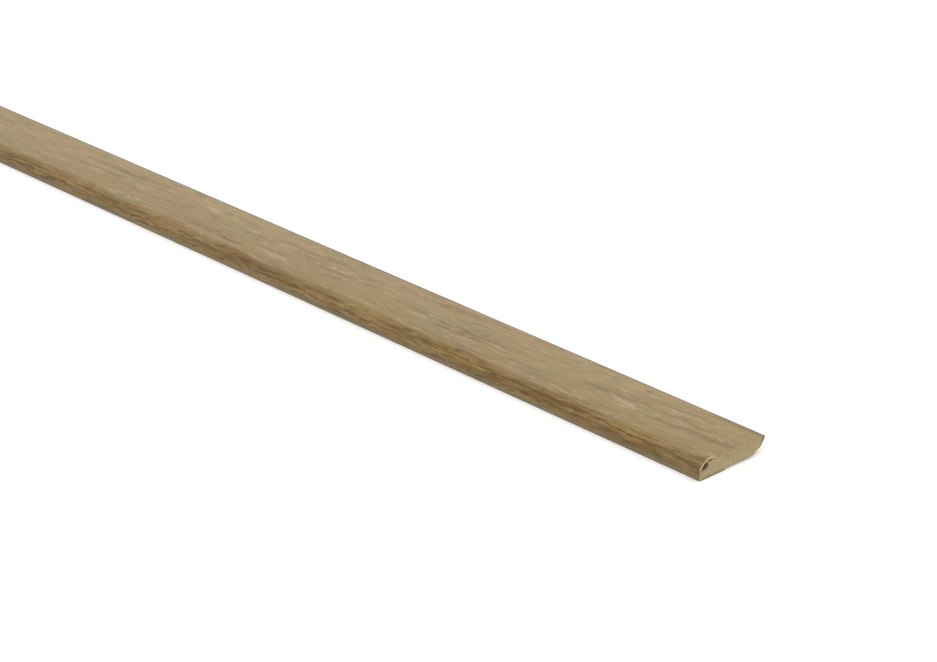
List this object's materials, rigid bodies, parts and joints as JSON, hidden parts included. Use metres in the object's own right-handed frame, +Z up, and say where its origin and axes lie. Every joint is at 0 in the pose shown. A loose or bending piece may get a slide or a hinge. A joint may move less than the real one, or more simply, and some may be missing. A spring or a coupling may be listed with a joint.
{
  "type": "skirting board",
  "caption": "Slim stick-on skirting board lying face up: fibreboard core with a rounded nose, undercut floor edge and shallow glue recess, wrapped in oak decor foil.",
  "frame": {"origin": "middle of the length and of the width, on the plane of the back land that the board lies on", "axes": "+X along the length towards the cut end that the picture shows, +Y across the width from the rounded nose to the floor edge, +Z up out of the decor face"},
  "size_m": [2.4, 0.024, 0.005],
  "materials": {
    "fibreboard": "bare sawn and moulded fibreboard, matt",
    "oak_decor": "printed greyed oak decor foil, satin, with fine pores along the length"
  },
  "bodies": {
    "root": {"mdf_core": "fibreboard", "decor_foil": "oak_decor"}
  },
  "joints": []
}
